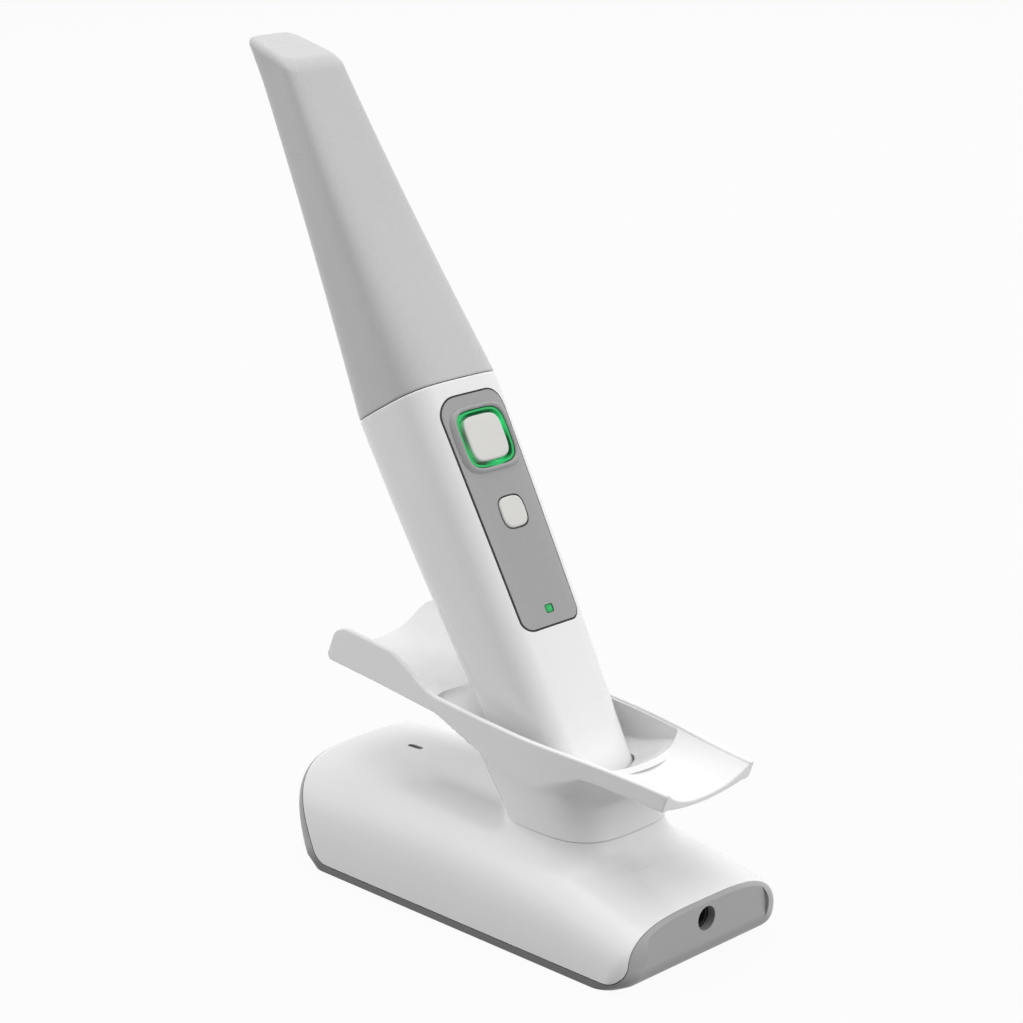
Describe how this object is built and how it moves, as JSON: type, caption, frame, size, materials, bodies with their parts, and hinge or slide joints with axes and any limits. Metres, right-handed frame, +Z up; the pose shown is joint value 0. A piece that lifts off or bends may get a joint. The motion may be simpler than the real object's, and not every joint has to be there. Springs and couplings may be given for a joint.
{
  "type": "intraoral scanner",
  "caption": "Wireless handheld scanner for teeth with a removable mirror tip, buttons on a grey panel and a lit ring, leaning back in a charging cradle with a tray on a loaf shaped base",
  "frame": {"origin": "centre of the rubber pad under the base, on the surface that it stands on", "axes": "+Z up, +X to the end with the power inlet, +Y across, the object is symmetric about the XZ plane"},
  "size_m": [0.2009, 0.0766, 0.2722],
  "materials": {
    "white": "gloss white moulding",
    "sleeve": "light grey, semi-gloss",
    "panel": "mid grey, satin",
    "frame": "mid grey, satin",
    "cap": "off-white, satin",
    "green": "clear green light guide",
    "board": "solder mask",
    "dark": "black, matt",
    "steel": "bare steel",
    "aluminium": "machined",
    "gold": "gold plated",
    "glass": "coated glass",
    "mirror": "front silvered",
    "rubber": "soft black",
    "cell": "blue shrink wrap"
  },
  "bodies": {
    "scanner": {"handle_shell": "white", "control_panel": "panel", "ring_light": "green", "status_window": "green", "scan_switch": "dark", "mode_switch": "dark", "button_board": "board", "inner_frame": "dark", "main_board": "board", "battery_cell": "cell", "projector_module": "aluminium", "lens_barrel": "dark", "camera_left": "dark", "camera_right": "dark", "optical_nose": "dark", "nose_seal": "rubber", "nose_window": "glass", "handle_end_cap": "white", "contact_pad_1": "gold", "contact_pad_2": "gold", "contact_pad_3": "gold", "contact_pad_4": "gold", "cradle_tray": "white", "contact_block": "dark", "charge_board": "board", "base_cover": "white", "status_light": "dark", "base_frame": "frame", "rubber_pad": "rubber", "ballast_plate": "steel", "power_jack": "dark", "jack_pin": "steel"},
    "tip": {"tip_sleeve": "sleeve", "tip_mirror": "mirror"},
    "scan_key": {"scan_button": "cap"},
    "mode_key": {"mode_button": "cap"},
    "pin_1": {"charge_pin_1": "gold"},
    "pin_2": {"charge_pin_2": "gold"},
    "pin_3": {"charge_pin_3": "gold"},
    "pin_4": {"charge_pin_4": "gold"}
  },
  "joints": [
    {"name": "tip_pull", "type": "slide", "parent": "scanner", "child": "tip", "axis": [-0.4879, 0, 0.8729], "range_m": [0, 0.095]},
    {"name": "scan_button_press", "type": "slide", "parent": "scanner", "child": "scan_key", "axis": [-0.8729, 0, -0.4879], "range_m": [0, 0.0008], "stiffness_N_per_m": 400},
    {"name": "mode_button_press", "type": "slide", "parent": "scanner", "child": "mode_key", "axis": [-0.8729, 0, -0.4879], "range_m": [0, 0.0006], "stiffness_N_per_m": 400},
    {"name": "charge_pin_1_press", "type": "slide", "parent": "scanner", "child": "pin_1", "axis": [0.4879, 0, -0.8729], "range_m": [0, 0.0008], "stiffness_N_per_m": 200},
    {"name": "charge_pin_2_press", "type": "slide", "parent": "scanner", "child": "pin_2", "axis": [0.4879, 0, -0.8729], "range_m": [0, 0.0008], "stiffness_N_per_m": 200},
    {"name": "charge_pin_3_press", "type": "slide", "parent": "scanner", "child": "pin_3", "axis": [0.4879, 0, -0.8729], "range_m": [0, 0.0008], "stiffness_N_per_m": 200},
    {"name": "charge_pin_4_press", "type": "slide", "parent": "scanner", "child": "pin_4", "axis": [0.4879, 0, -0.8729], "range_m": [0, 0.0008], "stiffness_N_per_m": 200}
  ]
}
